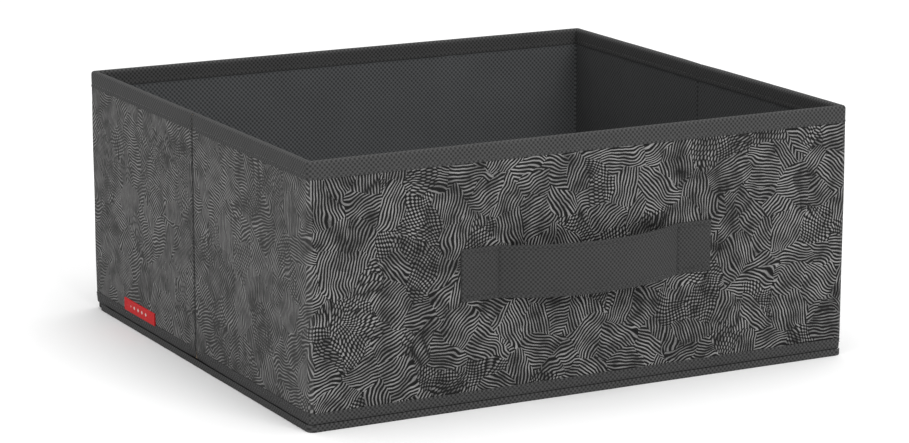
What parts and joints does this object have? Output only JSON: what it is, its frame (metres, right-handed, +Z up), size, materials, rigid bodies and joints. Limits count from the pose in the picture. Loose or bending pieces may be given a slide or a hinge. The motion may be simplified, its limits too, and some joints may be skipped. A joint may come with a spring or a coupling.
{
  "type": "fabric storage bin",
  "caption": "Open fold-flat fabric storage bin with stiffened creased walls, a zipped base flap, plain bindings and a front pull strap.",
  "frame": {"origin": "on the ground plane, under the middle of the bin's outline with its strap", "axes": "+Z up; -Y is the front with the pull strap; +X is to the right along the front"},
  "size_m": [0.3015, 0.2854, 0.13],
  "materials": {
    "print": "matte",
    "trim": "matte",
    "lining": "matte",
    "board": "matte",
    "tag": "matte",
    "thread": "satin",
    "zip_coil": "satin",
    "zip_metal": "satin"
  },
  "bodies": {
    "back_wall": {"back_board": "board", "back_print": "print", "back_lining": "lining", "back_rim_binding": "trim", "back_foot_binding": "trim"},
    "left_rear_panel": {"left_rear_board": "board", "left_rear_print": "print", "left_rear_lining": "lining", "left_rear_rim_binding": "trim", "left_rear_foot_binding": "trim", "side_tag": "tag"},
    "left_front_panel": {"left_front_board": "board", "left_front_print": "print", "left_front_lining": "lining", "left_front_rim_binding": "trim", "left_front_foot_binding": "trim"},
    "front_wall": {"front_board": "board", "front_print": "print", "front_lining": "lining", "front_rim_binding": "trim", "front_foot_binding": "trim", "strap_end_left": "trim", "strap_end_right": "trim", "strap_stitching": "thread"},
    "right_front_panel": {"right_front_board": "board", "right_front_print": "print", "right_front_lining": "lining", "right_front_rim_binding": "trim", "right_front_foot_binding": "trim"},
    "right_rear_panel": {"right_rear_board": "board", "right_rear_print": "print", "right_rear_lining": "lining", "right_rear_rim_binding": "trim", "right_rear_foot_binding": "trim"},
    "strap": {"strap_middle": "trim"},
    "base_flap": {"base_board": "board", "base_cover": "trim", "base_lining": "lining", "base_edge_binding": "trim", "zip_coil": "zip_coil"},
    "zip_slider": {"zip_slider": "zip_metal", "zip_pull": "zip_metal"}
  },
  "joints": [
    {"name": "left_rear_corner", "type": "hinge", "parent": "back_wall", "child": "left_rear_panel", "pos_m": [-0.1466, 0.13935, 0], "axis": [0, 0, 1], "range_deg": [0, 88]},
    {"name": "left_crease", "type": "hinge", "parent": "left_rear_panel", "child": "left_front_panel", "pos_m": [-0.15, 0.00775, 0], "axis": [0, 0, -1], "range_deg": [0, 176]},
    {"name": "left_front_corner", "type": "hinge", "parent": "left_front_panel", "child": "front_wall", "pos_m": [-0.1466, -0.12385, 0], "axis": [0, 0, 1], "range_deg": [0, 88]},
    {"name": "right_front_corner", "type": "hinge", "parent": "front_wall", "child": "right_front_panel", "pos_m": [0.1466, -0.12385, 0], "axis": [0, 0, 1], "range_deg": [0, 88]},
    {"name": "right_rear_corner", "type": "hinge", "parent": "back_wall", "child": "right_rear_panel", "pos_m": [0.1466, 0.13935, 0], "axis": [0, 0, -1], "range_deg": [0, 88]},
    {"name": "base_flap_hinge", "type": "hinge", "parent": "back_wall", "child": "base_flap", "pos_m": [0, 0.14275, 0], "axis": [1, 0, 0], "range_deg": [0, 266]},
    {"name": "zip_run", "type": "slide", "parent": "base_flap", "child": "zip_slider", "axis": [0, -1, 0], "range_m": [0, 0.235]},
    {"name": "strap_tilt", "type": "hinge", "parent": "front_wall", "child": "strap", "pos_m": [0, -0.12725, 0.067], "axis": [1, 0, 0], "range_deg": [-20, 20], "stiffness_Nm_per_rad": 0.03}
  ],
  "couplings": [
    {"joint": "left_crease", "follows": "left_rear_corner", "ratio": 2},
    {"joint": "left_front_corner", "follows": "left_rear_corner", "ratio": 1},
    {"joint": "right_front_corner", "follows": "left_rear_corner", "ratio": 1},
    {"joint": "right_rear_corner", "follows": "left_rear_corner", "ratio": 1}
  ]
}
